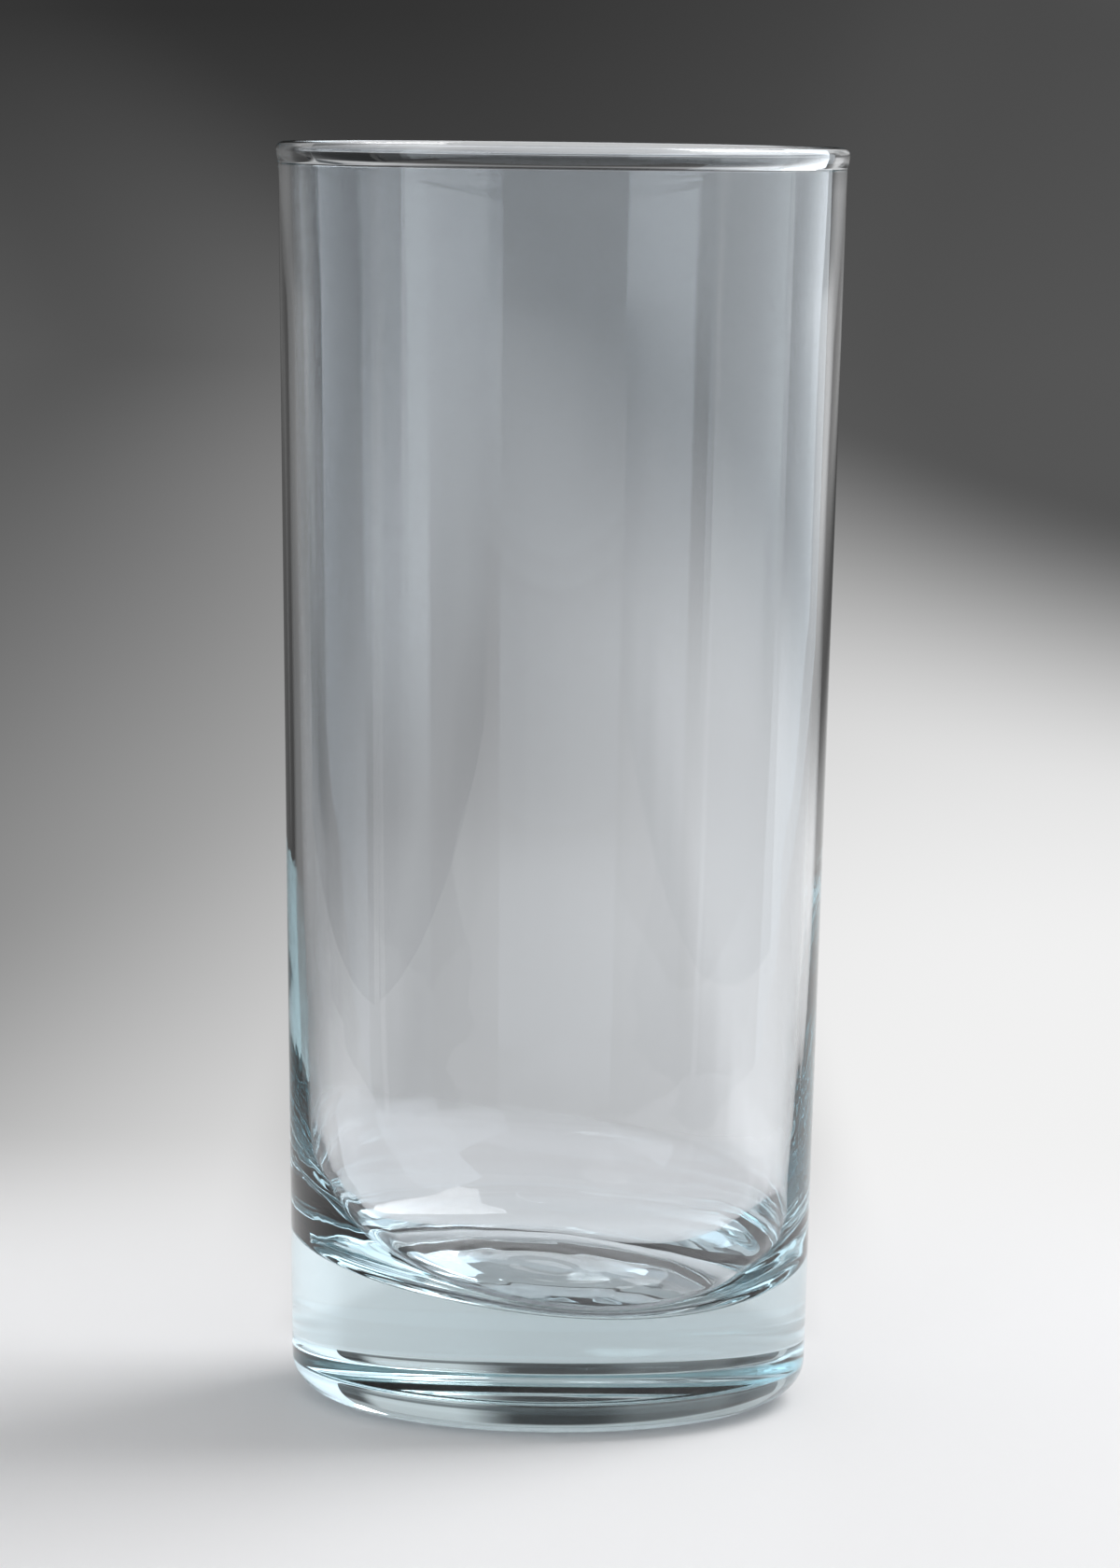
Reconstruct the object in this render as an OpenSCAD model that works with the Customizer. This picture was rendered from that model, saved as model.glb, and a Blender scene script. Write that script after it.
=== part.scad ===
// Highball glass: one thick-based tumbler of clear glass, turned from its section.
// The real glass is a single piece, so the model is a single solid.

/* [Body] */
// Height from the table to the top of the rim
height = 138.5; // [120:0.5:160]
// Outer diameter of the wall, carried up to the rim plane
mouth_d = 62.4; // [58:0.1:70]
// Outer diameter of the wall, carried down to the table
foot_d = 56.7; // [50:0.1:62]
// Thickness of the wall, carried up to the rim plane
wall_top = 1.36; // [1:0.02:1.8]
// Thickness of the wall, carried down to the table
wall_foot = 1.94; // [1.2:0.02:3]

/* [Rim] */
// Diameter of the round bead that closes the rim
bead_d = 2; // [1.5:0.05:3]
// How far the bead stands out from the outside of the wall
bead_out = 0.25; // [0.1:0.01:0.36]

/* [Base] */
// Thickness of the solid base at the middle of the glass, less its hollow underside
base_t = 14.7; // [11:0.1:20]
// Radius of the round heel between the wall and the table
heel_r = 6; // [3:0.1:7]
// Width of the flat ring that the glass stands on
ring_w = 1.6; // [1:0.1:3]
// Depth of the hollow underside at its middle
punt_depth = 1.2; // [0.6:0.1:2]

/* [Hollow] */
// Radius of the corner between the wall and the inner floor
corner_r = 10; // [6:0.5:12]
// Fall of the inner floor across the glass, in degrees
floor_fall = 6.8; // [0:0.1:7]
// Side that the inner floor falls towards, in degrees from +X
fall_side = -37; // [-180:1:180]

/* [Hidden] */
$fn = 180;

// How far the heel's round and the corner's round reach past the wall face that they run into, as shares of their radii
heel_lap_share = 0.0004;
corner_lap_share = 0.015;

// Leans of the two wall faces
foot_r = foot_d / 2;
bore_foot_r = foot_r - wall_foot;
outer_lean = atan((mouth_d / 2 - foot_r) / height);
bore_lean = atan((mouth_d / 2 - wall_top - bore_foot_r) / height);

// Rim: the bead sits on the end of the wall
bead_r = bead_d / 2;
bead_z = height - bead_r;
bead_mid_r = outer_r(bead_z) + bead_out - bead_r;

// Base: the heel's round stands on the table, and the underside is one wide shallow arc
heel_reach = heel_r * (1 - heel_lap_share);
heel_mid = [round_x(foot_r, outer_lean, heel_reach, heel_r), heel_r];
ring_in_r = heel_mid.x - ring_w;
punt_r = (ring_in_r * ring_in_r + punt_depth * punt_depth) / (2 * punt_depth);

// Hollow: the corner's round runs in a ring that tilts with the floor about its own middle,
// and reaches the wall face all the way round
corner_z = base_t + corner_r / cos(floor_fall);
corner_reach = corner_r * (1 - corner_lap_share);
corner_ring_r = round_x(bore_foot_r, bore_lean, corner_reach, corner_z)
    / (cos(floor_fall) - sin(floor_fall) * tan(bore_lean));
corner_top = -corner_r * sin(bore_lean);

// Radii of the two wall faces at height z
function outer_r(z) = foot_r + z * tan(outer_lean);
function bore_r(z) = bore_foot_r + z * tan(bore_lean);
// Distance from the glass's middle to that of a round of radius r at height z that touches a wall face from inside
function round_x(face_foot_r, lean, r, z) = face_foot_r + z * tan(lean) - r / cos(lean);

// Half section of the body without its hollow and its bead
module body_section() {
    difference() {
        polygon([
            [0, 0],
            [heel_mid.x, 0],
            heel_mid + heel_reach * [cos(outer_lean), -sin(outer_lean)],
            [outer_r(bead_z), bead_z],
            [0, bead_z]
        ]);
        translate([0, punt_depth - punt_r]) circle(punt_r);
    }
    translate(heel_mid) circle(heel_r);
}

// Half section of the hollow's bottom, with its corner's middle at height 0 and all that is above it open
module cup_section() {
    polygon([
        [0, -corner_r],
        [corner_ring_r, -corner_r],
        [corner_ring_r, corner_top],
        [mouth_d, corner_top],
        [mouth_d, height],
        [0, height]
    ]);
    translate([corner_ring_r, 0]) circle(corner_r);
}

// Upright tapered bore that ends in a bottom off level, as where hot glass has settled to one side
module hollow() {
    intersection() {
        cylinder(height, bore_foot_r, bore_r(height));
        translate([0, 0, corner_z])
            rotate([0, floor_fall, fall_side])
                rotate_extrude() cup_section();
    }
}

module tumbler() {
    color([0.82, 0.9, 0.92, 0.45]) {
        difference() {
            rotate_extrude() body_section();
            hollow();
        }
        rotate_extrude()
            translate([bead_mid_r, bead_z]) circle(bead_r);
    }
}

tumbler();
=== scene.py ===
"""Highball glass: the visual model of a tall clear tumbler, with its stage, lights and camera."""
import math
from typing import NamedTuple

import bmesh
import bpy
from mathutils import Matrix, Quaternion, Vector, noise


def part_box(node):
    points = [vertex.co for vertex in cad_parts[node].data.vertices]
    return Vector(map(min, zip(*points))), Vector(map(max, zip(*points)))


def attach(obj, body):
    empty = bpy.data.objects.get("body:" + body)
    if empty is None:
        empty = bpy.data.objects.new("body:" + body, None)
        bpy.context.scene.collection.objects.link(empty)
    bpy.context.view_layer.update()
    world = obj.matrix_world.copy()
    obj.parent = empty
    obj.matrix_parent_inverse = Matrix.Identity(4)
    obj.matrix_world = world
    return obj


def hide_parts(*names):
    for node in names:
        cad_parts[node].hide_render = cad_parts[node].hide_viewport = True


bl_info = {
    "name": "Highball Glass",
    "version": (1, 0, 0),
    "blender": (4, 5, 0),
    "location": "View3D > Sidebar > Glass",
    "description": "Makes a tall clear tumbler with a fine rim and a thick base, and the studio it stands in",
    "category": "Add Mesh",
}

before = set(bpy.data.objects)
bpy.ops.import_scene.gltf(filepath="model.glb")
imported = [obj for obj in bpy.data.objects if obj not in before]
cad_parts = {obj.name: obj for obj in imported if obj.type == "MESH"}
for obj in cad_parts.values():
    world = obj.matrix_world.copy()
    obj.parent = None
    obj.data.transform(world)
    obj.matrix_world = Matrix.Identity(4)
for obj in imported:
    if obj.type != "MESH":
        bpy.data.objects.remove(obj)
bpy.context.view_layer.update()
GLASS_LOW, GLASS_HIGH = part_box("tumbler")
GLASS_HEIGHT = GLASS_HIGH[2] - GLASS_LOW[2]
MM = 0.001

# The picture's frame: its height in pixels, and how many of them show a millimetre at the glass's middle
PICTURE_HEIGHT = 1680
PIXELS_PER_MM = 9.757

# Counts of points in the glass's mesh: round it, and up or down each stretch of its surface
SEGMENTS = 256
UNDERSIDE_RINGS = 40
FOOT_RINGS = 4
HEEL_RINGS = 28
WALL_RINGS = 60
BEAD_SIDE_RINGS = 28
BEAD_TOP_RINGS = 18
CORNER_RINGS = 48
FLOOR_RINGS = 30


class GlassSizes(bpy.types.PropertyGroup):
    """Sizes of the glass, in metres and radians."""

    height: bpy.props.FloatProperty(
        name="Height", default=GLASS_HEIGHT, unit="LENGTH",
        description="From the table to the top of the rim",
    )
    mouth_radius: bpy.props.FloatProperty(
        name="Mouth Radius", default=31.2 * MM, unit="LENGTH",
        description="Outer radius of the wall, carried up to the rim plane",
    )
    foot_radius: bpy.props.FloatProperty(
        name="Foot Radius", default=28.35 * MM, unit="LENGTH",
        description="Outer radius of the wall, carried down to the table",
    )
    wall_top: bpy.props.FloatProperty(
        name="Wall at Rim", default=1.36 * MM, unit="LENGTH",
        description="Thickness of the wall at the rim",
    )
    wall_foot: bpy.props.FloatProperty(
        name="Wall at Foot", default=1.76 * MM, unit="LENGTH",
        description="Thickness of the wall, carried down to the table",
    )
    bead_width: bpy.props.FloatProperty(
        name="Bead Width", default=2.0 * MM, unit="LENGTH",
        description="Thickness of the bead at the rim",
    )
    bead_rise: bpy.props.FloatProperty(
        name="Bead Rise", default=0.85 * MM, unit="LENGTH",
        description="Height of the bead's rounded top above its thickest place",
    )
    bead_drop: bpy.props.FloatProperty(
        name="Bead Drop", default=2.0 * MM, unit="LENGTH",
        description="Depth to which the bead would close below its thickest place",
    )
    bead_out: bpy.props.FloatProperty(
        name="Bead Overhang", default=0.24 * MM, unit="LENGTH",
        description="How far the bead stands out from the outside of the wall",
    )
    bead_blend: bpy.props.FloatProperty(
        name="Bead Blend", default=0.03 * MM, unit="LENGTH",
        description="Softness of the crease between the bead and the wall",
    )
    base: bpy.props.FloatProperty(
        name="Base", default=14.7 * MM, unit="LENGTH",
        description="Thickness of the solid base at the middle",
    )
    heel_width: bpy.props.FloatProperty(
        name="Heel Width", default=6.4 * MM, unit="LENGTH",
        description="Reach along the table of the round under the wall, at the front and sides",
    )
    heel_height: bpy.props.FloatProperty(
        name="Heel Height", default=4.6 * MM, unit="LENGTH",
        description="Height of the round under the wall, at the front and sides",
    )
    heel_width_back: bpy.props.FloatProperty(
        name="Heel Width, Back", default=3.4 * MM, unit="LENGTH",
        description="Reach of the heel's round along the table at the back",
    )
    heel_height_back: bpy.props.FloatProperty(
        name="Heel Height, Back", default=3.0 * MM, unit="LENGTH",
        description="Height of the heel's round at the back",
    )
    ring_width: bpy.props.FloatProperty(
        name="Foot Ring", default=1.6 * MM, unit="LENGTH",
        description="Width of the flat ring that the glass stands on",
    )
    punt_depth: bpy.props.FloatProperty(
        name="Underside Depth", default=1.2 * MM, unit="LENGTH",
        description="Depth of the hollow underside at its middle",
    )
    corner_height_left: bpy.props.FloatProperty(
        name="Corner Height, Left", default=15.1 * MM, unit="LENGTH",
        description="Height of the inner corner's curve on the left",
    )
    corner_height_right: bpy.props.FloatProperty(
        name="Corner Height, Right", default=11.5 * MM, unit="LENGTH",
        description="Height of the inner corner's curve on the right",
    )
    corner_height_front: bpy.props.FloatProperty(
        name="Corner Height, Front", default=2.5 * MM, unit="LENGTH",
        description="Height of the inner corner's curve at the front",
    )
    corner_height_back: bpy.props.FloatProperty(
        name="Corner Height, Back", default=12.3 * MM, unit="LENGTH",
        description="Height of the inner corner's curve at the back",
    )
    corner_width_left: bpy.props.FloatProperty(
        name="Corner Width, Left", default=7.5 * MM, unit="LENGTH",
        description="Reach of the inner corner's curve from the wall on the left",
    )
    corner_width_right: bpy.props.FloatProperty(
        name="Corner Width, Right", default=12.2 * MM, unit="LENGTH",
        description="Reach of the inner corner's curve from the wall on the right",
    )
    corner_width_front: bpy.props.FloatProperty(
        name="Corner Width, Front", default=6.6 * MM, unit="LENGTH",
        description="Reach of the inner corner's curve from the wall at the front",
    )
    corner_width_back: bpy.props.FloatProperty(
        name="Corner Width, Back", default=11.6 * MM, unit="LENGTH",
        description="Reach of the inner corner's curve from the wall at the back",
    )
    bore_shift: bpy.props.FloatProperty(
        name="Bore Shift", default=1.0 * MM, unit="LENGTH",
        description="How much further than its wall the hollow's bottom lies in front of the glass's middle",
    )
    wall_shift: bpy.props.FloatProperty(
        name="Wall Shift", default=0.25 * MM, unit="LENGTH",
        description="How far the hollow lies in front of the glass's middle along the wall",
    )
    wall_shift_fade: bpy.props.FloatProperty(
        name="Wall Shift Fade", default=15.0 * MM, unit="LENGTH",
        description="Length below the bead over which the wall's shift begins",
    )
    bore_straight: bpy.props.FloatProperty(
        name="Bore Straight From", default=62.0 * MM, unit="LENGTH",
        description="Height above which the bottom's shift and waves no longer reach",
    )
    floor_fall: bpy.props.FloatProperty(
        name="Floor Fall", default=math.radians(6.8), subtype="ANGLE",
        description="Angle by which the inner floor is off level",
    )
    fall_side: bpy.props.FloatProperty(
        name="Fall Side", default=math.radians(-37.0), subtype="ANGLE",
        description="Direction that the inner floor falls towards",
    )


class GlassWaves(bpy.types.PropertyGroup):
    """Faint waves that forming left in the surfaces: their depths, and how long they are."""

    drawn_lines: bpy.props.FloatProperty(
        name="Drawn Lines", default=0.003 * MM, unit="LENGTH",
        description="Depth of the faint upright lines in the wall",
    )
    drawn_change: bpy.props.FloatProperty(
        name="Drawn Line Change", default=90.0 * MM, unit="LENGTH",
        description="Height over which an upright line wanders or fades",
    )
    wall_waves: bpy.props.FloatProperty(
        name="Wall Waves", default=0.06 * MM, unit="LENGTH",
        description="Depth of the waves in the wall near the base",
    )
    wall_wave_long: bpy.props.FloatProperty(
        name="Long Wall Wave", default=14.0 * MM, unit="LENGTH",
        description="Length of the longer of those waves",
    )
    wall_wave_short: bpy.props.FloatProperty(
        name="Short Wall Wave", default=6.0 * MM, unit="LENGTH",
        description="Length of the shorter of those waves",
    )
    floor_waves: bpy.props.FloatProperty(
        name="Floor Waves", default=0.03 * MM, unit="LENGTH",
        description="Depth of the round waves in the inner floor",
    )
    ripple_spacing: bpy.props.FloatProperty(
        name="Ripple Spacing", default=3.6 * MM, unit="LENGTH",
        description="From one round wave of the inner floor to the next",
    )
    ripple_bend: bpy.props.FloatProperty(
        name="Ripple Bend", default=9.0 * MM, unit="LENGTH",
        description="Length over which a round wave goes out of round",
    )
    mottle: bpy.props.FloatProperty(
        name="Floor Mottle", default=3.0 * MM, unit="LENGTH",
        description="Size of the small dents among the round waves",
    )
    foot_waves: bpy.props.FloatProperty(
        name="Underside Waves", default=0.02 * MM, unit="LENGTH",
        description="Depth of the chill marks in the underside",
    )
    chill_long: bpy.props.FloatProperty(
        name="Long Chill Mark", default=5.0 * MM, unit="LENGTH",
        description="Size of the larger chill marks",
    )
    chill_short: bpy.props.FloatProperty(
        name="Short Chill Mark", default=2.2 * MM, unit="LENGTH",
        description="Size of the smaller chill marks",
    )


class GlassFinish(bpy.types.PropertyGroup):
    """Colours and surface of the clear glass."""

    refraction: bpy.props.FloatProperty(
        name="Refractive Index", default=1.52,
        description="How strongly the glass bends light",
    )
    skin: bpy.props.FloatVectorProperty(
        name="Skin Colour", subtype="COLOR", size=3, default=(0.92, 0.93, 0.945),
        description="Colour of the light that each surface lets through",
    )
    tint: bpy.props.FloatVectorProperty(
        name="Depth Tint", subtype="COLOR", size=3, default=(0.044, 0.456, 0.533),
        description="Colour that is left after a long way through the glass",
    )
    tint_density: bpy.props.FloatProperty(
        name="Tint Density", default=6.5,
        description="How fast the tint deepens, per metre",
    )


class StageLook(bpy.types.PropertyGroup):
    """Studio surfaces, lamps and camera."""

    floor_colour: bpy.props.FloatVectorProperty(
        name="Floor", subtype="COLOR", size=3, default=(0.84, 0.84, 0.85),
        description="Colour of the pale sweep under and near the glass",
    )
    # Painted light: brightness of the far front paper, seen in place of its lighting
    painted_front_floor: bpy.props.FloatProperty(
        name="Front Floor", default=0.2,
        description="Brightness of the paper far in front of the glass",
    )
    # Painted shade: the paper's colour is darkened just behind the glass
    painted_near_shade: bpy.props.FloatProperty(
        name="Near Shade", default=0.2,
        description="Share of light that the glass takes from the paper just behind it",
    )
    # Painted shade of the glass, twice over, on the far paper behind it
    painted_own_shade: bpy.props.FloatProperty(
        name="Own Shade", default=0.155,
        description="Share of light that the glass takes, twice over, from the far paper behind it",
    )
    # Painted glow on the wall, seen in place of its lighting
    wall_glow: bpy.props.FloatProperty(
        name="Wall Glow", default=0.6,
        description="Brightness of the wall above the picture, on the right of the glass",
    )
    # Painted light at the top of the wall
    painted_high_wall: bpy.props.FloatProperty(
        name="High Wall", default=0.6,
        description="Brightness of the top of the wall behind the glass",
    )
    # Painted light on the far paper beside the picture
    side_glow: bpy.props.FloatVectorProperty(
        name="Side Glow", size=2, default=(0.1, 0.4),
        description="Brightness of the far paper beside the picture, and what its right side adds",
    )
    ambient: bpy.props.FloatProperty(
        name="Ambient", default=0.5,
        description="Strength of the even room light",
    )
    room_top: bpy.props.FloatProperty(
        name="Room, Overhead", default=0.6,
        description="Brightness of the room where it is seen overhead",
    )
    room_front: bpy.props.FloatProperty(
        name="Room, Front", default=0.5,
        description="Brightness of the room where it is seen behind the camera",
    )
    room_back: bpy.props.FloatProperty(
        name="Room, Back", default=0.5,
        description="Brightness of the room where it is seen behind the glass",
    )
    key_box: bpy.props.FloatProperty(
        name="Key Softbox", default=6.0,
        description="Brightness of the high softbox at the back right",
    )
    fill_box: bpy.props.FloatProperty(
        name="Fill Softbox", default=1.3,
        description="Brightness of the softbox behind the camera",
    )
    card_colour: bpy.props.FloatVectorProperty(
        name="Card Colour", subtype="COLOR", size=3, default=(0.92, 1.0, 1.065),
        description="Cool cast of the cards that the glass mirrors",
    )
    card_left: bpy.props.FloatVectorProperty(
        name="Left Card", size=2, default=(0.0, 2.0),
        description="Brightness, low and high, of the card in front of the glass on its left",
    )
    card_left_back: bpy.props.FloatVectorProperty(
        name="Left Card, Back", size=2, default=(0.0, 0.5),
        description="Brightness, low and high, of the dim card behind the left one",
    )
    card_right: bpy.props.FloatVectorProperty(
        name="Right Card", size=2, default=(0.2, 2.3),
        description="Brightness, low and high, of the card in front of the glass on its right",
    )
    card_front: bpy.props.FloatVectorProperty(
        name="Front Card", size=2, default=(0.5, 1.35),
        description="Brightness, low and high, of the wide card behind the camera",
    )
    wing_left: bpy.props.FloatVectorProperty(
        name="Left Wing", size=2, default=(0.05, 0.1),
        description="Brightness, low and high, of the dark card beside the glass on its left",
    )
    wing_right: bpy.props.FloatVectorProperty(
        name="Right Wing", size=2, default=(0.4, 2.6),
        description="Brightness, low and high, of the card beside the glass on its right",
    )
    wing_right_back: bpy.props.FloatVectorProperty(
        name="Right Wing, Back", size=2, default=(1.2, 1.6),
        description="Brightness, low and high, of the card behind the right wing",
    )
    camera_distance: bpy.props.FloatProperty(
        name="Camera Distance", default=763.0 * MM, unit="LENGTH",
        description="From the camera to the glass's middle, along the table",
    )
    camera_height: bpy.props.FloatProperty(
        name="Camera Height", default=144.5 * MM, unit="LENGTH",
        description="Height of the camera above the table",
    )
    camera_side: bpy.props.FloatProperty(
        name="Camera Side", default=0.517 * MM, unit="LENGTH",
        description="How far the camera stands to the right of the glass's middle",
    )
    camera_pitch: bpy.props.FloatProperty(
        name="Camera Pitch", default=math.radians(5.713), subtype="ANGLE",
        description="Angle by which the camera looks down",
    )
    camera_roll: bpy.props.FloatProperty(
        name="Camera Roll", default=math.radians(0.72), subtype="ANGLE",
        description="Angle by which the camera is turned about its line of sight",
    )
    camera_scale: bpy.props.FloatProperty(
        name="Camera Scale", default=PICTURE_HEIGHT / PIXELS_PER_MM * MM, unit="LENGTH",
        description="Height of the picture's frame at the glass's middle",
    )


def line(a, b, n):
    """n points from a towards b, without b."""
    return [(a[0] + (b[0] - a[0]) * i / n, a[1] + (b[1] - a[1]) * i / n) for i in range(n)]


def unit_arc(start, end, n):
    """n points of an arc of radius 1 from angle start towards end, in degrees, without its end."""
    angles = [math.radians(start + (end - start) * i / n) for i in range(n)]
    return [(math.cos(a), math.sin(a)) for a in angles]


def smooth_step(t):
    """0 below 0, 1 above 1 and smooth between."""
    t = min(max(t, 0.0), 1.0)
    return t * t * (3 - 2 * t)


def soft_max(a, b, soft):
    """The greater of two lengths, with a rounded change from one to the other."""
    return (a + b + math.sqrt((a - b) ** 2 + soft ** 2)) / 2


def swell(x, y, z, length):
    """Smooth noise from -1 to 1 whose waves are about the given length long."""
    return noise.noise(Vector((x, y, z)) / length)


# In the functions below, s holds the sizes of the glass and w its waves
def lean(s):
    """How much the outer radius of the wall grows per metre of height."""
    return (s.mouth_radius - s.foot_radius) / s.height


def outer_at(s, z):
    """Outer radius of the wall at height z."""
    return s.foot_radius + z * lean(s)


def bore_at(s, z):
    """Radius of the hollow at height z, above its corner."""
    return outer_at(s, z) - s.wall_foot - (s.wall_top - s.wall_foot) * z / s.height


def floor_at(s, r, a):
    """Height of the inner floor's plane at radius r and angle a."""
    return s.base - math.tan(s.floor_fall) * math.cos(a - s.fall_side) * r


def bead_middle(s):
    """Radius and height of the middle of the bead's thickest place."""
    z = s.height - s.bead_rise
    return outer_at(s, z) + s.bead_out - s.bead_width / 2, z


def bead_low(s):
    """Height at which the bead would close below its thickest place."""
    return bead_middle(s)[1] - s.bead_drop


def bead_faces(s, z):
    """Radii of the outside and the inside at height z, in the bead or just below it."""
    mid, bead_z = bead_middle(s)
    half = s.bead_width / 2 * math.sqrt(max(1 - ((bead_z - z) / s.bead_drop) ** 2, 0.0))
    outer = soft_max(outer_at(s, z), mid + half, s.bead_blend)
    inner = -soft_max(-bore_at(s, z), half - mid, s.bead_blend)
    return outer, inner


def outer_profile(s, heel, rise):
    """Radius and height of the outside, from the middle of the underside up to the top of the bead."""
    slope = lean(s)
    ring_in = outer_at(s, s.heel_height) - s.heel_width - s.ring_width
    pts = []
    for i in range(UNDERSIDE_RINGS):
        share = i / UNDERSIDE_RINGS
        pts.append((ring_in * share, s.punt_depth * (1 - share ** 2)))
    heel_mid = outer_at(s, rise) - heel
    pts += line((ring_in, 0.0), (heel_mid, 0.0), FOOT_RINGS)
    for x, z in unit_arc(-90, 0, HEEL_RINGS):
        up = (1 + z) * rise
        pts.append((heel_mid + heel * x + (up - rise) * slope * x, up))
    low = bead_low(s)
    mid, bead_z = bead_middle(s)
    pts += line((outer_at(s, rise), rise), (outer_at(s, low), low), WALL_RINGS)
    for i in range(BEAD_SIDE_RINGS):
        z = low + (bead_z - low) * i / BEAD_SIDE_RINGS
        pts.append((bead_faces(s, z)[0], z))
    for x, z in unit_arc(0, 90, BEAD_TOP_RINGS):
        pts.append((mid + s.bead_width / 2 * x, bead_z + s.bead_rise * z))
    return pts


def bead_inside(s):
    """Radius and height of the bead from its top down its inner side."""
    mid, bead_z = bead_middle(s)
    pts = [
        (mid + s.bead_width / 2 * x, bead_z + s.bead_rise * z)
        for x, z in unit_arc(90, 180, BEAD_TOP_RINGS)
    ]
    for i in range(BEAD_SIDE_RINGS):
        z = bead_z - (bead_z - bead_low(s)) * i / BEAD_SIDE_RINGS
        pts.append((bead_faces(s, z)[1], z))
    return pts


def round_sides(s, name, a):
    """Value at the angle a round the glass of a size that is given for its four sides."""
    left, right, front, back = (getattr(s, name + "_" + side) for side in ("left", "right", "front", "back"))
    across, along = (left + right) / 2, (front + back) / 2
    even = (across + along + (across - along) * math.cos(2 * a)) / 2
    return even + (right - left) / 2 * math.cos(a) + (back - front) / 2 * math.sin(a)


def hollow_profile(s, a):
    """Radius and height down one side of the hollow, and the radius of the floor's flat part."""
    tall, wide = round_sides(s, "corner_height", a), round_sides(s, "corner_width", a)
    top = bead_low(s)
    low = floor_at(s, bore_at(s, s.base + tall), a) + tall
    bore = bore_at(s, low)
    edge = bore - wide
    if edge <= 0 or low >= top:
        raise ValueError("The inner corner is too large for the hollow")
    pts = []
    for i in range(WALL_RINGS):
        z = top + (low - top) * i / WALL_RINGS
        pts.append((bore_at(s, z), z))
    for i in range(CORNER_RINGS):
        turn = math.pi / 2 * i / CORNER_RINGS
        r = bore - wide * (1 - math.cos(turn))
        z = floor_at(s, r, a) + tall * (1 - math.sin(turn))
        pts.append((r + (bore_at(s, z) - bore) * math.cos(turn), z))
    for i in range(FLOOR_RINGS):
        r = edge * (1 - i / FLOOR_RINGS)
        pts.append((r, floor_at(s, r, a)))
    return pts, edge


def drawn_line(w, a, z):
    """Depth of the upright lines: a few waves round the glass that come and go with height."""
    wander = 3
    depth = 0.0
    for waves, share in ((23, 0.9), (41, 0.6), (67, 0.4)):
        depth += share * math.sin(waves * a + wander * swell(waves, math.cos(a), z, w.drawn_change))
    least, front_share, side_share = 0.4, 0.6, 0.6
    strength = least + front_share * (1 - math.sin(a)) / 2 + side_share * abs(math.cos(a))
    return w.drawn_lines * depth * strength


def wall_wave(s, w, a, z):
    """Depth of the waves that the settled glass leaves in the inner wall, deepest at the base."""
    squash, short_share, apart = 3.0, 0.5, 1
    low = smooth_step((s.bore_straight - z) / (s.bore_straight - s.base))
    x, y = s.foot_radius * math.cos(a), s.foot_radius * math.sin(a)
    long_wave = swell(x, y, squash * z, w.wall_wave_long)
    short_wave = swell(x, y + apart, squash * z, w.wall_wave_short)
    return w.wall_waves * low * (long_wave + short_share * short_wave)


def floor_wave(w, point, r, edge):
    """Height of the inner floor's round waves and small dents, which fade out towards its edge."""
    bend, ripple_share, mottle_share, layer = 2, 0.6, 0.8, 2.0
    calm_middle, ripple_fade, mottle_fade = 0.25, 0.3, 0.4
    across = min(r / edge, 1.0)
    ripple = math.sin(2 * math.pi * r / w.ripple_spacing + bend * swell(point.x, point.y, 0.0, w.ripple_bend))
    ripple *= smooth_step(across / calm_middle) * smooth_step((1 - across) / ripple_fade)
    dents = swell(point.x, point.y, layer, w.mottle) * smooth_step((1 - across) / mottle_fade)
    return w.floor_waves * (ripple_share * ripple + mottle_share * dents)


def chill_mark(w, point):
    """Height of the underside's chill marks."""
    short_share, layer = 0.5, 1.0
    long_mark = swell(point.x, point.y, 0.0, w.chill_long)
    short_mark = swell(point.x, point.y, layer, w.chill_short)
    return w.foot_waves * (long_mark + short_share * short_mark)


def upright(r, z, a):
    """Point at radius r and height z, at the angle a round the glass."""
    return Vector((r * math.cos(a), r * math.sin(a), z))


def ring_angles():
    """Angles of the points round the glass."""
    return [2 * math.pi * k / SEGMENTS for k in range(SEGMENTS)]


def underside_rings(s, w, profile):
    """Rings of the hollow underside, whose chill marks fade out at the foot ring."""
    fade_share = 0.25
    rings = []
    for r, z in profile:
        ring = [upright(r, z, a) for a in ring_angles()]
        for point in ring:
            point.z += smooth_step(z / (fade_share * s.punt_depth)) * chill_mark(w, point)
        rings.append(ring)
    return rings


def outside_rings(front, back):
    """Rings of the foot, heel and outer wall, which turn from the front profile into the back one."""
    turn_from, turn_by = 0.3, 0.6
    rings = []
    for (r0, z0), (r1, z1) in zip(front, back):
        ring = []
        for a in ring_angles():
            t = smooth_step((math.sin(a) - turn_from) / turn_by)
            ring.append(upright(r0 + (r1 - r0) * t, z0 + (z1 - z0) * t, a))
        rings.append(ring)
    return rings


def hollow_side(s, w, a):
    """Points down one side of the hollow, with the shifts and waves of settled glass."""
    calm_rings, fade_rings = 4, 8
    top = bead_low(s)
    profile, edge = hollow_profile(s, a)
    shift_end = s.base + round_sides(s, "corner_height", a) / 2
    points = []
    for i, (r, z) in enumerate(profile):
        on_wall = i < WALL_RINGS + CORNER_RINGS
        if on_wall:
            r += drawn_line(w, a, z) * smooth_step((i - calm_rings) / fade_rings) - wall_wave(s, w, a, z)
        point = upright(r, z, a)
        point.y -= s.wall_shift * smooth_step((top - z) / s.wall_shift_fade)
        point.y -= s.bore_shift * smooth_step((s.bore_straight - z) / (s.bore_straight - shift_end))
        if not on_wall:
            point.z += floor_wave(w, point, r, edge)
        points.append(point)
    return points


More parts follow.
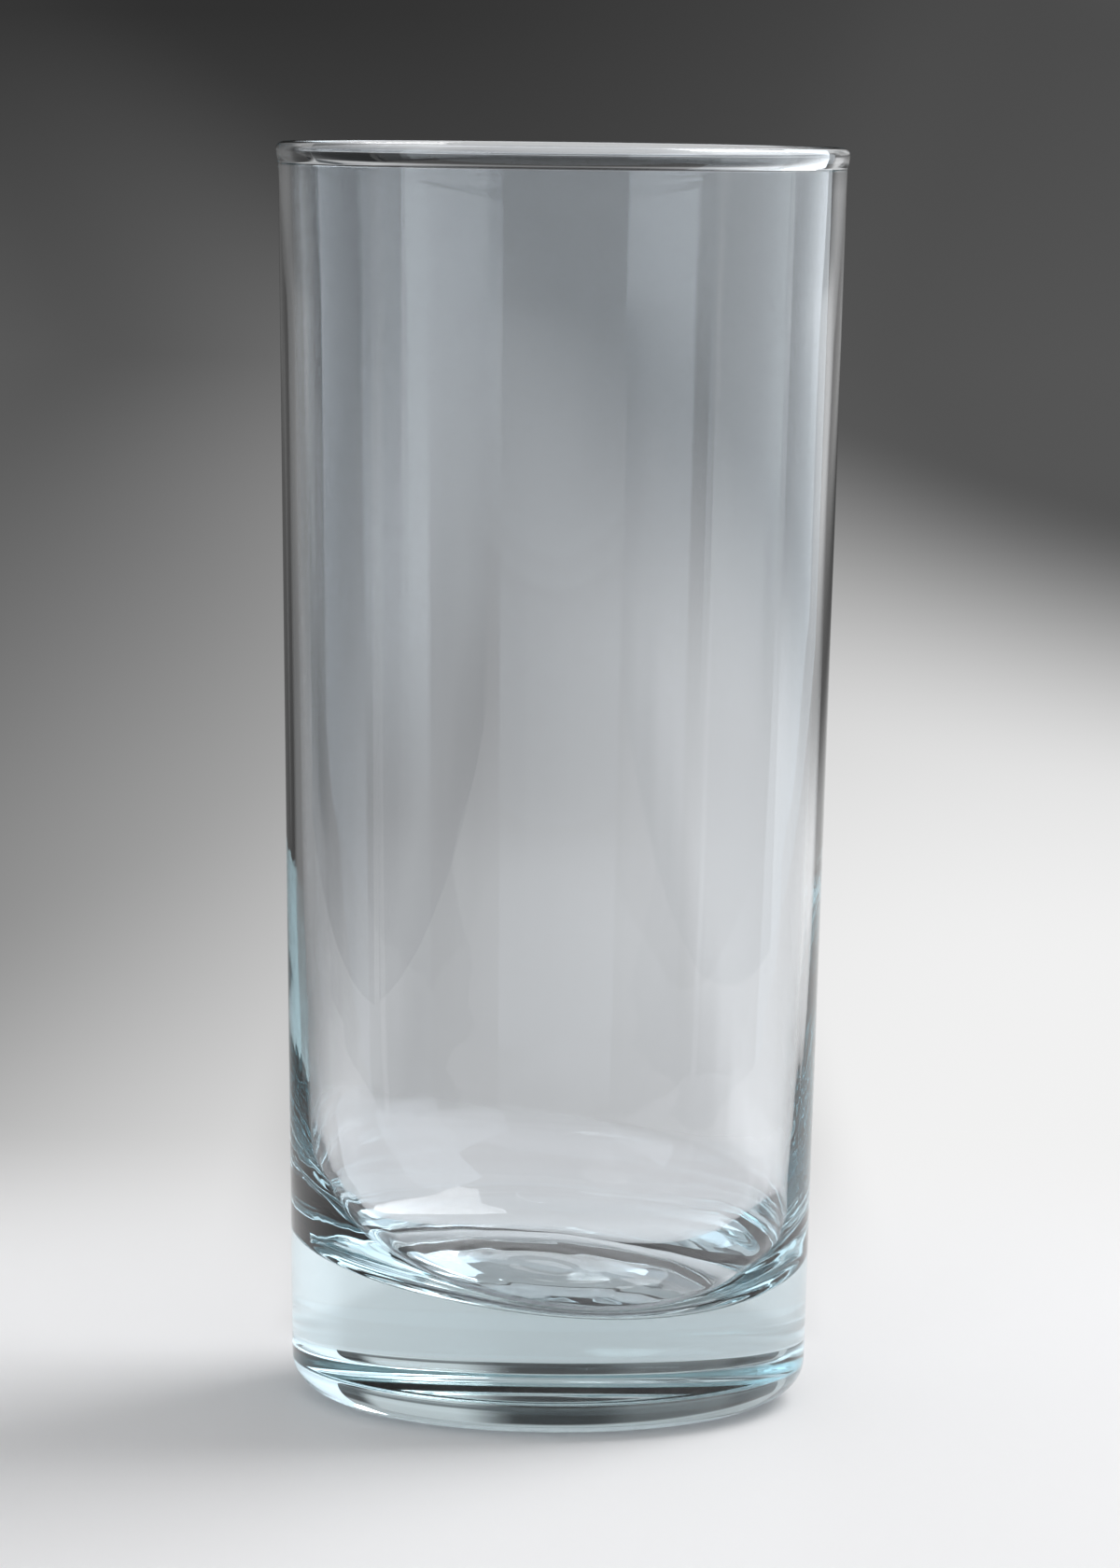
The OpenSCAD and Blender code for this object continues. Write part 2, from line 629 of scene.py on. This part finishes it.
def glass_rings(s, w):
    """All rings of the glass's surface, from the underside's middle round the rim to the floor's middle."""
    front = outer_profile(s, s.heel_width, s.heel_height)
    back = outer_profile(s, s.heel_width_back, s.heel_height_back)
    rings = underside_rings(s, w, front[:UNDERSIDE_RINGS])
    rings += outside_rings(front[UNDERSIDE_RINGS:], back[UNDERSIDE_RINGS:])
    rings += [[upright(r, z, a) for a in ring_angles()] for r, z in bead_inside(s)]
    sides = [hollow_side(s, w, a) for a in ring_angles()]
    return rings + [list(ring) for ring in zip(*sides)]


def link_mesh(bm, name):
    """New object in the scene with the mesh that bm holds."""
    mesh = bpy.data.meshes.new(name)
    bm.to_mesh(mesh)
    bm.free()
    obj = bpy.data.objects.new(name, mesh)
    bpy.context.collection.objects.link(obj)
    return obj


def loft(name, rings):
    """Closed smooth mesh through rings, the first of them a single point, and the last closed by a fan."""
    bm = bmesh.new()
    first = bm.verts.new((0, 0, rings[0][0].z))
    body = [[bm.verts.new(p) for p in ring] for ring in rings[1:]]
    last = bm.verts.new(sum(rings[-1], Vector()) / len(rings[-1]))
    n = len(body[0])
    for k in range(n):
        m = (k + 1) % n
        bm.faces.new((first, body[0][m], body[0][k]))
        bm.faces.new((last, body[-1][k], body[-1][m]))
        for low, high in zip(body, body[1:]):
            bm.faces.new((low[k], low[m], high[m], high[k]))
    for face in bm.faces:
        face.smooth = True
    if not all(edge.is_manifold for edge in bm.edges):
        raise RuntimeError(f"The mesh of {name} isn't closed")
    return link_mesh(bm, name)


def glass_material(f):
    """Clear glass whose blue-green tint deepens with the way that light takes through it."""
    mat = bpy.data.materials.new("clear_glass")
    mat.use_nodes = True
    nodes, links = mat.node_tree.nodes, mat.node_tree.links
    shader = nodes["Principled BSDF"]
    shader.inputs["Base Color"].default_value = (*f.skin, 1)
    shader.inputs["Roughness"].default_value = 0.0
    shader.inputs["IOR"].default_value = f.refraction
    shader.inputs["Transmission Weight"].default_value = 1.0
    depth = nodes.new("ShaderNodeVolumeAbsorption")
    depth.inputs["Color"].default_value = (*f.tint, 1)
    depth.inputs["Density"].default_value = f.tint_density
    links.new(depth.outputs["Volume"], nodes["Material Output"].inputs["Volume"])
    return mat


class GLASS_OT_tumbler(bpy.types.Operator):
    """Makes the glass itself, one closed piece from the underside over the rim to the inner floor"""

    bl_idname = "glass.tumbler"
    bl_label = "Make Tumbler"

    def execute(self, context):
        """Builds the glass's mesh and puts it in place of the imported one."""
        scene = context.scene
        piece = loft("tumbler_glass", glass_rings(scene.glass_sizes, scene.glass_waves))
        piece.data.materials.append(glass_material(scene.glass_finish))
        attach(piece, "root")
        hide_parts("tumbler")
        return {"FINISHED"}


# The sweep, in metres: rows of its floor from the front edge, half its width, its wall and the curve below it
SWEEP_ROWS = (-4.0, -0.6, -0.2, 0.2)
SWEEP_HALF = 4.0
WALL_BACK = 3.0
WALL_TOP = 1.6
WALL_CURVE = 0.05
WALL_CURVE_STEPS = 24

# Roughness of its matt paper
PAPER_ROUGHNESS = 0.5

# Stretches of the paper, in metres from the glass's middle, over which its shades begin and end.
# Lit paper turns into painted shades behind the glass and in front of it, and its painted shade darkens
# further out in front.
PAINTED_BACK = (0.05, 0.20)
PAINTED_FRONT = (-0.12, -0.20)
FRONT_DIMS = (-0.05, -0.7)
FRONT_BRIGHT = 0.8
# Painted shade just behind the glass, darkening the paper's colour: its sides, and where it starts
PAINTED_NEAR_SHADE_SIDE = (0.034, 0.024)
PAINTED_NEAR_SHADE_BACK = (0.03, 0.045)
# Painted shade of the glass on the far paper: its sides, and its two fading lengths
PAINTED_OWN_SHADE_SIDE = (0.042, 0.026)
PAINTED_OWN_SHADE_LONG = (1.5, 0.5)
PAINTED_OWN_SHADE_SHORT = (0.45, 0.15)
# Painted light on the paper beside the picture, and the painted glow on the wall above it
BESIDE_START = (0.35, 0.8)
BESIDE_END = (2.3, 1.7)
BESIDE_RIGHT = (-0.1, 0.1)
GLOW_START = (0.2, 0.8)
GLOW_END = (2.2, 1.8)
GLOW_HEIGHT = (0.17, 0.30)
HIGH_WALL_HEIGHT = (1.15, 1.6)


class ShaderMath:
    """Short calls that add nodes to a node tree and give back the sockets of their results."""

    def __init__(self, tree):
        """Works on the given node tree."""
        self.nodes, self.links = tree.nodes, tree.links

    def calc(self, kind, a, b=None, c=None):
        """A Math node on sockets or numbers."""
        node = self.nodes.new("ShaderNodeMath")
        node.operation = kind
        for socket, value in zip(node.inputs, (a, b, c)):
            if isinstance(value, (int, float)):
                socket.default_value = value
            elif value is not None:
                self.links.new(value, socket)
        return node.outputs["Value"]

    def step(self, value, low, high, start=0.0, end=1.0):
        """Smooth step from start to end as the value goes from low to high."""
        node = self.nodes.new("ShaderNodeMapRange")
        node.interpolation_type = "SMOOTHSTEP"
        for name, number in (("From Min", low), ("From Max", high), ("To Min", start), ("To Max", end)):
            node.inputs[name].default_value = number
        self.links.new(value, node.inputs["Value"])
        return node.outputs["Result"]

    def apart(self, vector):
        """The three parts of a vector."""
        node = self.nodes.new("ShaderNodeSeparateXYZ")
        self.links.new(vector, node.inputs["Vector"])
        return [node.outputs[axis] for axis in "XYZ"]

    def place(self):
        """X, Y and Z of the shaded point, in metres."""
        return self.apart(self.nodes.new("ShaderNodeNewGeometry").outputs["Position"])

    def seen(self):
        """1 for rays that are seen, straight or in the glass, and 0 for rays that carry light."""
        path = self.nodes.new("ShaderNodeLightPath")
        straight = self.calc("MAXIMUM", path.outputs["Is Camera Ray"], path.outputs["Is Glossy Ray"])
        return self.calc("MAXIMUM", straight, path.outputs["Is Transmission Ray"])


# In the functions below, m is the ShaderMath of the material that they add to
def paper_nearness(m, y, z, look):
    """How near the glass the paper is: 1.2 beside it, 0.3 at the wall's foot, and less up the wall."""
    lift, gain, drop = 0.0879, 0.856, -1.584
    back = m.calc("DIVIDE", 1.0, m.calc("ADD", m.calc("MAXIMUM", y, 0.0), look.camera_distance))
    return m.calc("MULTIPLY_ADD", z, drop, m.calc("MULTIPLY_ADD", back, gain, lift))


def painted_left_shading(m, x, near):
    """Painted shade on the paper on the left, which lightens towards the glass with a slanting painted edge
    of light.
    """
    least, start, rise, fall = 0.0205, 0.0244, 0.139, -2.04
    dim = m.calc("MULTIPLY_ADD", m.calc("MAXIMUM", m.calc("SUBTRACT", near, start), 0.0), rise, least)
    dim = m.calc("MULTIPLY", dim, m.calc("MULTIPLY_ADD", x, fall, 1.0))
    slant, edge_low, edge_high, bright = 3.45, 0.456, 1.30, 0.817
    return m.calc("ADD", dim, m.step(m.calc("MULTIPLY_ADD", x, slant, near), edge_low, edge_high, end=bright))


def painted_right_shading(m, x, near):
    """Painted shade at the back right, and a painted pool of light with a slanting edge, brightest near the
    glass.
    """
    least, across, rise, rise_end = 0.0507, 0.0692, 0.0712, 0.4
    dark = m.calc("MULTIPLY_ADD", x, across, least)
    dark = m.calc("MULTIPLY_ADD", m.calc("MINIMUM", near, rise_end), rise, dark)
    slant, edge_low, edge_high, bright = -1.056, 0.238, 0.580, 0.526
    painted_pool = m.step(m.calc("MULTIPLY_ADD", x, slant, near), edge_low, edge_high, end=bright)
    near_low, near_high, near_bright = 0.447, 0.84, 0.272
    return m.calc("ADD", dark, m.calc("ADD", painted_pool, m.step(near, near_low, near_high, end=near_bright)))


def painted_picture_shading(m, x, near):
    """Grey level of the far paper within the picture, all painted light and shade, where the left painted
    shades turn into the right ones.
    """
    spread, turn_low, turn_high, least = 1.48, -0.372, 0.255, 0.02
    left, right = painted_left_shading(m, x, near), painted_right_shading(m, x, near)
    side = m.step(m.calc("MULTIPLY", x, m.calc("MULTIPLY_ADD", near, spread, 1.0)), turn_low, turn_high)
    return m.calc("MAXIMUM", m.calc("MULTIPLY_ADD", side, m.calc("SUBTRACT", right, left), left), least)


def painted_wall_light(m, x, z, look):
    """Painted light on the wall above the picture: a painted glow on the right of the glass, and the wall's
    painted bright top.
    """
    glow = m.calc("MULTIPLY", m.step(x, *GLOW_END, end=look.wall_glow), m.step(x, *GLOW_START))
    glow = m.calc("MULTIPLY", m.step(z, *GLOW_HEIGHT), glow)
    return m.calc("MAXIMUM", glow, m.step(z, *HIGH_WALL_HEIGHT, end=look.painted_high_wall))


def painted_far_paper(m, place, look):
    """Painted grey level of the far paper: painted light and shade within the picture, beside it and on the
    wall above it.
    """
    side_gain, side_limit = 0.95, 0.4
    near_low, near_high = 0.05, 0.45
    x, y, z = place
    across = m.calc("MINIMUM", m.calc("MULTIPLY", x, side_gain), side_limit)
    across = m.calc("MAXIMUM", across, -side_limit)
    near = paper_nearness(m, y, z, look)
    # Painted shade of the glass on the far paper behind it
    painted_shade = [m.step(y, *stretch, end=look.painted_own_shade) for stretch in (PAINTED_OWN_SHADE_LONG, PAINTED_OWN_SHADE_SHORT)]
    painted_shade = m.calc("MULTIPLY", m.step(m.calc("ABSOLUTE", across), *PAINTED_OWN_SHADE_SIDE), m.calc("ADD", *painted_shade))
    level = m.calc("MULTIPLY", painted_picture_shading(m, across, near), m.calc("SUBTRACT", 1.0, painted_shade))
    # Painted light on the paper beside the picture, which shows in the glass's edges and is brighter on the
    # right
    aside = m.calc("ABSOLUTE", x)
    beside = m.calc("MULTIPLY", m.step(aside, *BESIDE_START), m.step(aside, *BESIDE_END))
    even, more = look.side_glow
    right = m.calc("MULTIPLY", m.step(across, *BESIDE_RIGHT, end=more), m.step(near, near_low, near_high))
    edge = m.calc("MULTIPLY", beside, m.calc("ADD", right, even))
    return m.calc("ADD", m.calc("ADD", level, edge), painted_wall_light(m, x, z, look))


def paper_colour_with_painted_shade(m, place, look):
    """Colour of the lit paper, with painted shade that makes it a little darker just behind the glass."""
    x, y, _ = place
    side = m.step(m.calc("ABSOLUTE", x), *PAINTED_NEAR_SHADE_SIDE)
    painted_shade = m.calc("MULTIPLY", side, m.step(y, *PAINTED_NEAR_SHADE_BACK, end=look.painted_near_shade))
    painted_shade_mix = m.nodes.new("ShaderNodeMix")
    painted_shade_mix.data_type = "RGBA"
    painted_shade_mix.inputs["A"].default_value = (*look.floor_colour, 1)
    painted_shade_mix.inputs["B"].default_value = (0, 0, 0, 1)
    m.links.new(painted_shade, painted_shade_mix.inputs["Factor"])
    return painted_shade_mix.outputs["Result"]


def sweep_material(look):
    """Pale paper that is lit as it lies near the glass, and shows painted light and shade further back and
    far in front.
    """
    mat = bpy.data.materials.new("sweep_paper")
    mat.use_nodes = True
    m = ShaderMath(mat.node_tree)
    paper = m.nodes["Principled BSDF"]
    paper.inputs["Roughness"].default_value = PAPER_ROUGHNESS
    place = m.place()
    y = place[1]
    m.links.new(paper_colour_with_painted_shade(m, place, look), paper.inputs["Base Color"])
    # Painted light and shade: seen rays get these grey levels as a glow instead of the paper's lighting
    level = painted_far_paper(m, place, look)
    front = m.step(y, *PAINTED_FRONT)
    front_level = m.step(y, *FRONT_DIMS, start=FRONT_BRIGHT, end=look.painted_front_floor)
    level = m.calc("MULTIPLY_ADD", front, m.calc("SUBTRACT", front_level, level), level)
    painted = m.calc("MAXIMUM", m.step(y, *PAINTED_BACK), front)
    glow = m.nodes.new("ShaderNodeEmission")
    m.links.new(level, glow.inputs["Color"])
    mix = m.nodes.new("ShaderNodeMixShader")
    m.links.new(m.calc("MULTIPLY", painted, m.seen()), mix.inputs["Fac"])
    m.links.new(paper.outputs["BSDF"], mix.inputs[1])
    m.links.new(glow.outputs["Emission"], mix.inputs[2])
    m.links.new(mix.outputs["Shader"], m.nodes["Material Output"].inputs["Surface"])
    return mat


def make_sweep(look):
    """A floor that curves up into a wall behind the glass."""
    section = [(y, 0.0) for y in SWEEP_ROWS]
    for i in range(WALL_CURVE_STEPS + 1):
        a = math.pi / 2 * i / WALL_CURVE_STEPS
        section.append((WALL_BACK - WALL_CURVE * (1 - math.sin(a)), WALL_CURVE * (1 - math.cos(a))))
    section.append((WALL_BACK, WALL_TOP))
    bm = bmesh.new()
    left, right = ([bm.verts.new((x, y, z)) for y, z in section] for x in (-SWEEP_HALF, SWEEP_HALF))
    for i in range(len(section) - 1):
        bm.faces.new((left[i], right[i], right[i + 1], left[i + 1])).smooth = True
    sweep = link_mesh(bm, "sweep")
    sweep.data.materials.append(sweep_material(look))


def room_light(look):
    """Even room light, and the room's own shades where it is seen."""
    front_to_back, side_to_top = (-0.5, 0.5), (0.35, 0.8)
    world = bpy.data.worlds.new("room")
    world.use_nodes = True
    m = ShaderMath(world.node_tree)
    back = m.nodes["Background"]
    back.inputs["Color"].default_value = (1, 1, 1, 1)
    _, y, z = m.apart(m.nodes.new("ShaderNodeTexCoord").outputs["Generated"])
    side = m.step(y, *front_to_back, start=look.room_front, end=look.room_back)
    level = m.calc("MULTIPLY_ADD", m.step(z, *side_to_top), m.calc("SUBTRACT", look.room_top, side), side)
    strength = m.nodes.new("ShaderNodeMix")
    strength.inputs["A"].default_value = look.ambient
    m.links.new(level, strength.inputs["B"])
    m.links.new(m.seen(), strength.inputs["Factor"])
    m.links.new(strength.outputs["Result"], back.inputs["Strength"])
    return world


class Card(NamedTuple):
    """Upright card, in metres: its ends on the floor, its top, and the heights that it brightens between."""

    start: tuple
    end: tuple
    top: float
    fade: tuple


# Cards that the glass mirrors. Each one's brightness is the property of the same name.
CARDS = {
    "card_left": Card(start=(-0.30, -0.53), end=(-0.30, -0.14), top=0.26, fade=(0.0, 0.13)),
    "card_left_back": Card(start=(-0.30, -0.14), end=(-0.30, -0.07), top=0.26, fade=(0.0, 0.13)),
    "card_right": Card(start=(0.30, -0.60), end=(0.30, -0.15), top=0.30, fade=(0.03, 0.125)),
    "card_front": Card(start=(-1.2, -0.84), end=(1.2, -0.84), top=0.8, fade=(0.0, 0.05)),
    "wing_left": Card(start=(-0.30, -0.055), end=(-0.45, 0.30), top=0.5, fade=(0.0, 0.1)),
    "wing_right": Card(start=(0.30, -0.15), end=(0.36, 0.09), top=0.5, fade=(0.03, 0.08)),
    "wing_right_back": Card(start=(0.36, 0.09), end=(0.62, 0.69), top=0.5, fade=(0.0, 0.1)),
}


def card_material(name, card, levels, colour):
    """Glow that rises from the lower level to the upper one over the card's fade."""
    mat = bpy.data.materials.new(name)
    mat.use_nodes = True
    m = ShaderMath(mat.node_tree)
    m.nodes.remove(m.nodes["Principled BSDF"])
    low, high = levels
    rise = m.step(m.place()[2], *card.fade, start=low, end=high)
    glow = m.nodes.new("ShaderNodeEmission")
    glow.inputs["Color"].default_value = (*colour, 1)
    m.links.new(m.calc("MULTIPLY", rise, m.seen()), glow.inputs["Strength"])
    m.links.new(glow.outputs["Emission"], m.nodes["Material Output"].inputs["Surface"])
    return mat


def mirrored_card(name, card, levels, colour):
    """A card that shows only in the glass."""
    bm = bmesh.new()
    bm.faces.new(
        bm.verts.new((x, y, z))
        for (x, y), z in ((card.start, 0), (card.end, 0), (card.end, card.top), (card.start, card.top))
    )
    obj = link_mesh(bm, name)
    obj.data.materials.append(card_material(name, card, levels, colour))
    obj.visible_camera = obj.visible_diffuse = obj.visible_shadow = False


class SoftBox(NamedTuple):
    """Square lamp, in metres: its side, its place and the point that it faces."""

    side: float
    place: tuple
    aim: tuple


FILL_BOX = SoftBox(side=0.8, place=(0.0, -0.86, 0.4), aim=(0.0, 0.0, 0.4))
KEY_BOX = SoftBox(side=0.7, place=(0.60, 0.35, 0.80), aim=(0.0, 0.0, 0.05))


def soft_box(name, box, strength):
    """Softbox that glows at the given strength and doesn't show to the camera."""
    lamp = bpy.data.lights.new(name, "AREA")
    lamp.shape = "RECTANGLE"
    lamp.size = lamp.size_y = box.side
    lamp.energy = strength * math.pi * box.side ** 2
    obj = bpy.data.objects.new(name, lamp)
    bpy.context.collection.objects.link(obj)
    obj.location = box.place
    obj.rotation_euler = (Vector(box.aim) - Vector(box.place)).to_track_quat("-Z", "Y").to_euler()
    obj.visible_camera = False
    return obj


class GLASS_OT_stage(bpy.types.Operator):
    """Makes the pale sweep, the room, the cards that the glass mirrors and the soft lamps"""

    bl_idname = "glass.stage"
    bl_label = "Make Stage"

    def execute(self, context):
        """Builds the stage from its look."""
        look = context.scene.stage_look
        make_sweep(look)
        context.scene.world = room_light(look)
        for name, card in CARDS.items():
            mirrored_card(name, card, getattr(look, name), look.card_colour)
        fill = soft_box("softbox_fill", FILL_BOX, look.fill_box)
        fill.visible_glossy = fill.visible_transmission = False
        soft_box("softbox_key", KEY_BOX, look.key_box)
        return {"FINISHED"}


# The camera's sensor, in millimetres, and the nearest and farthest that it shows, in metres
SENSOR = 36.0
CLIP_NEAR = 0.01
CLIP_FAR = 50.0

# How often light may turn: it runs round inside the thick base many times before it leaves
BOUNCES = 48


class GLASS_OT_camera(bpy.types.Operator):
    """Makes the camera at the photograph's viewpoint, and sets how its picture is shown"""

    bl_idname = "glass.camera"
    bl_label = "Make Camera"

    def execute(self, context):
        """Builds the camera from the stage's look."""
        look = context.scene.stage_look
        data = bpy.data.cameras.new("camera")
        data.sensor_width = SENSOR
        data.lens = look.camera_distance / look.camera_scale * SENSOR
        data.clip_start, data.clip_end = CLIP_NEAR, CLIP_FAR
        cam = bpy.data.objects.new("camera", data)
        context.collection.objects.link(cam)
        cam.location = (look.camera_side, -look.camera_distance, look.camera_height)
        sight = Vector((0, math.cos(look.camera_pitch), -math.sin(look.camera_pitch)))
        cam.rotation_mode = "QUATERNION"
        cam.rotation_quaternion = sight.to_track_quat("-Z", "Y") @ Quaternion((0, 0, 1), look.camera_roll)
        context.scene.camera = cam
        context.scene.view_settings.view_transform = "Standard"
        paths = context.scene.cycles
        paths.max_bounces = paths.glossy_bounces = paths.transmission_bounces = BOUNCES
        return {"FINISHED"}


class GLASS_PT_panel(bpy.types.Panel):
    """Lists the steps that make the glass and its stage, and the values that they use"""

    bl_label = "Highball Glass"
    bl_idname = "GLASS_PT_panel"
    bl_space_type = "VIEW_3D"
    bl_region_type = "UI"
    bl_category = "Glass"

    def draw(self, context):
        """One button for each operator, then one box for each group of values."""
        for operator in OPERATORS:
            self.layout.operator(operator.bl_idname)
        for name, kind in GROUPS.items():
            box = self.layout.box()
            for value in kind.__annotations__:
                box.prop(getattr(context.scene, name), value)


OPERATORS = (GLASS_OT_tumbler, GLASS_OT_stage, GLASS_OT_camera)
GROUPS = {
    "glass_sizes": GlassSizes,
    "glass_waves": GlassWaves,
    "glass_finish": GlassFinish,
    "stage_look": StageLook,
}
CLASSES = (*GROUPS.values(), *OPERATORS, GLASS_PT_panel)


def register():
    """Registers the classes and gives each scene its groups of values."""
    for kind in CLASSES:
        bpy.utils.register_class(kind)
    for name, kind in GROUPS.items():
        setattr(bpy.types.Scene, name, bpy.props.PointerProperty(type=kind))


def unregister():
    """Takes the groups and the classes away again."""
    for name in GROUPS:
        delattr(bpy.types.Scene, name)
    for kind in reversed(CLASSES):
        bpy.utils.unregister_class(kind)


def main():
    """Makes the glass, its stage and the camera."""
    register()
    bpy.ops.glass.tumbler()
    bpy.ops.glass.stage()
    bpy.ops.glass.camera()


if __name__ == "__main__":
    main()
